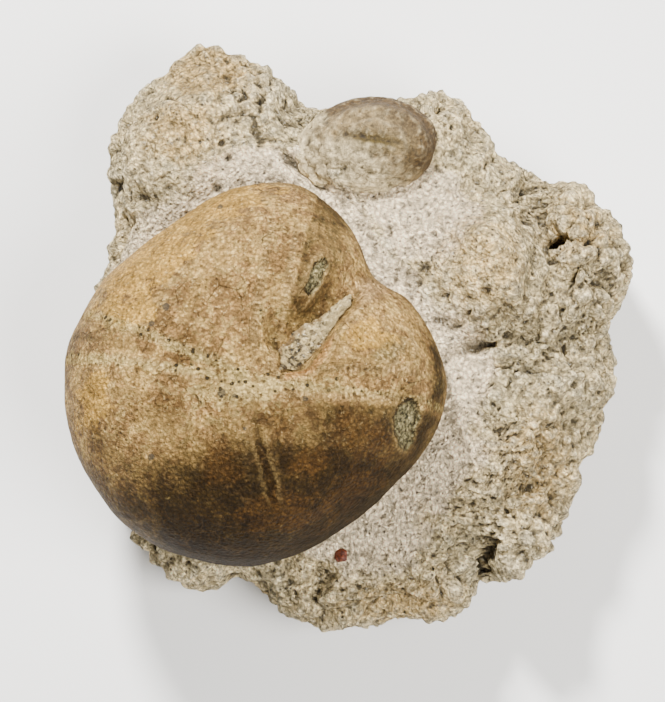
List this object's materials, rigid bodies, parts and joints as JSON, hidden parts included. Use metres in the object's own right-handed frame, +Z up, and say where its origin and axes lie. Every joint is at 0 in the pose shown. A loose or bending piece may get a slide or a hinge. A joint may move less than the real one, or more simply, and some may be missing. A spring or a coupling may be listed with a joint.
{
  "type": "fossil sea urchin",
  "caption": "Heart-shaped fossil sea urchin with a deep front groove, lying in a rough pale limestone lump beside a smaller half-buried fossil; rests on its flat underside.",
  "frame": {"origin": "middle of the flat underside, under the middle of the whole piece", "axes": "+Z up from the resting plane; +Y along the stone's length, towards the smaller fossil; the urchin's front groove points between +X and +Y"},
  "size_m": [0.0684, 0.0738, 0.0397],
  "materials": {
    "limestone": "rough, granular, chalky",
    "urchin_calcite": "smooth, finely granular, dull sheen",
    "chalk_crust": "rough, chalky",
    "companion_calcite": "worn, uneven, dull",
    "iron_oxide": "dull, grainy"
  },
  "bodies": {
    "root": {"matrix_stone": "limestone", "urchin_test": "urchin_calcite", "groove_crust": "chalk_crust", "companion_fossil": "companion_calcite", "rust_grain": "iron_oxide"}
  },
  "joints": []
}
